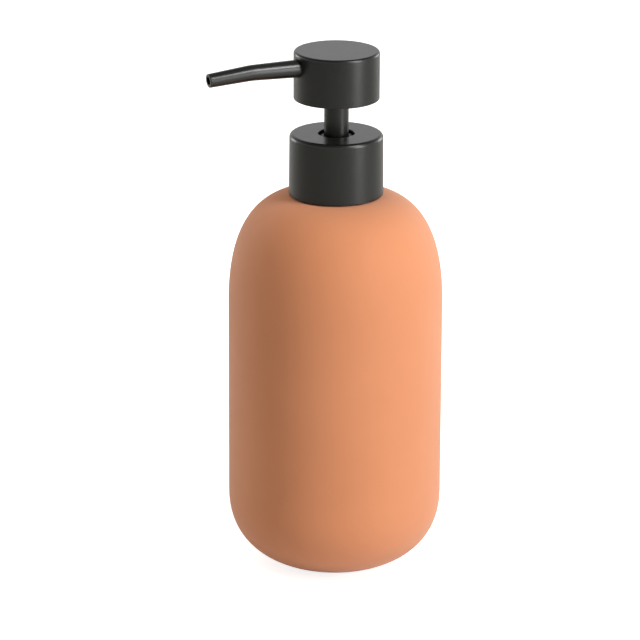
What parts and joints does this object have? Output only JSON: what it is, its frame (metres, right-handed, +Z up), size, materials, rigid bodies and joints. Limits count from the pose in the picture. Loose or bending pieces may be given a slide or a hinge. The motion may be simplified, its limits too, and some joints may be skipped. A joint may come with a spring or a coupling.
{
  "type": "soap pump dispenser",
  "caption": "Refillable soap pump dispenser: a matte round-cornered ceramic bottle with a black screw collar, a lotion pump with a sprung press head, and a slim drooping spout.",
  "frame": {"origin": "centre of the bottle's flat base, on the surface it stands on", "axes": "+Z up along the axis of the bottle and the pump; the spout points along -X"},
  "size_m": [0.0872, 0.0762, 0.19],
  "materials": {
    "bottle_ceramic": "matte terracotta glaze, silky to the touch",
    "black_coating": "satin black powder coating on thin steel",
    "black_plastic": "moulded black polypropylene",
    "neck_plastic": "moulded natural plastic",
    "pump_plastic": "moulded natural polypropylene",
    "piston_plastic": "soft natural polyethylene",
    "tube_plastic": "extruded translucent polyethylene",
    "gasket_rubber": "soft pale elastomer",
    "spring_steel": "drawn stainless wire",
    "ball_steel": "polished stainless ball"
  },
  "bodies": {
    "bottle": {"bottle": "bottle_ceramic", "neck_insert": "neck_plastic"},
    "pump": {"neck_gasket": "gasket_rubber", "pump_housing": "pump_plastic", "housing_cap": "black_plastic", "stem_seal": "gasket_rubber", "ball_cage": "pump_plastic", "dip_tube": "tube_plastic"},
    "ball": {"inlet_ball": "ball_steel"},
    "closure": {"collar_cover": "black_coating", "closure_nut": "black_plastic"},
    "spring": {"return_spring": "spring_steel"},
    "head": {"piston_rod": "pump_plastic", "stem": "pump_plastic", "stem_sleeve": "black_coating", "head_core": "black_plastic", "head_shell": "black_coating", "spout": "black_coating"},
    "piston": {"piston": "piston_plastic"}
  },
  "joints": [
    {"name": "pump_lift", "type": "slide", "parent": "bottle", "child": "pump", "axis": [0, 0, 1], "range_m": [0, 0.15]},
    {"name": "closure_turn", "type": "hinge", "parent": "pump", "child": "closure", "pos_m": [0, 0, 0.15], "axis": [0, 0, 1], "continuous": true},
    {"name": "head_press", "type": "slide", "parent": "pump", "child": "spring", "axis": [0, 0, -1], "range_m": [0, 0.0123], "stiffness_N_per_m": 700, "springref_m": -0.01, "deforming": ["return_spring"]},
    {"name": "head_swivel", "type": "hinge", "parent": "spring", "child": "head", "pos_m": [0, 0, 0.165], "axis": [0, 0, 1], "continuous": true},
    {"name": "piston_slip", "type": "slide", "parent": "head", "child": "piston", "axis": [0, 0, 1], "range_m": [0, 0.0013]},
    {"name": "ball_lift", "type": "slide", "parent": "pump", "child": "ball", "axis": [0, 0, 1], "range_m": [0, 0.0016]}
  ],
  "couplings": [
    {"joint": "piston_slip", "follows": "head_press", "ratio": 0.10569}
  ]
}
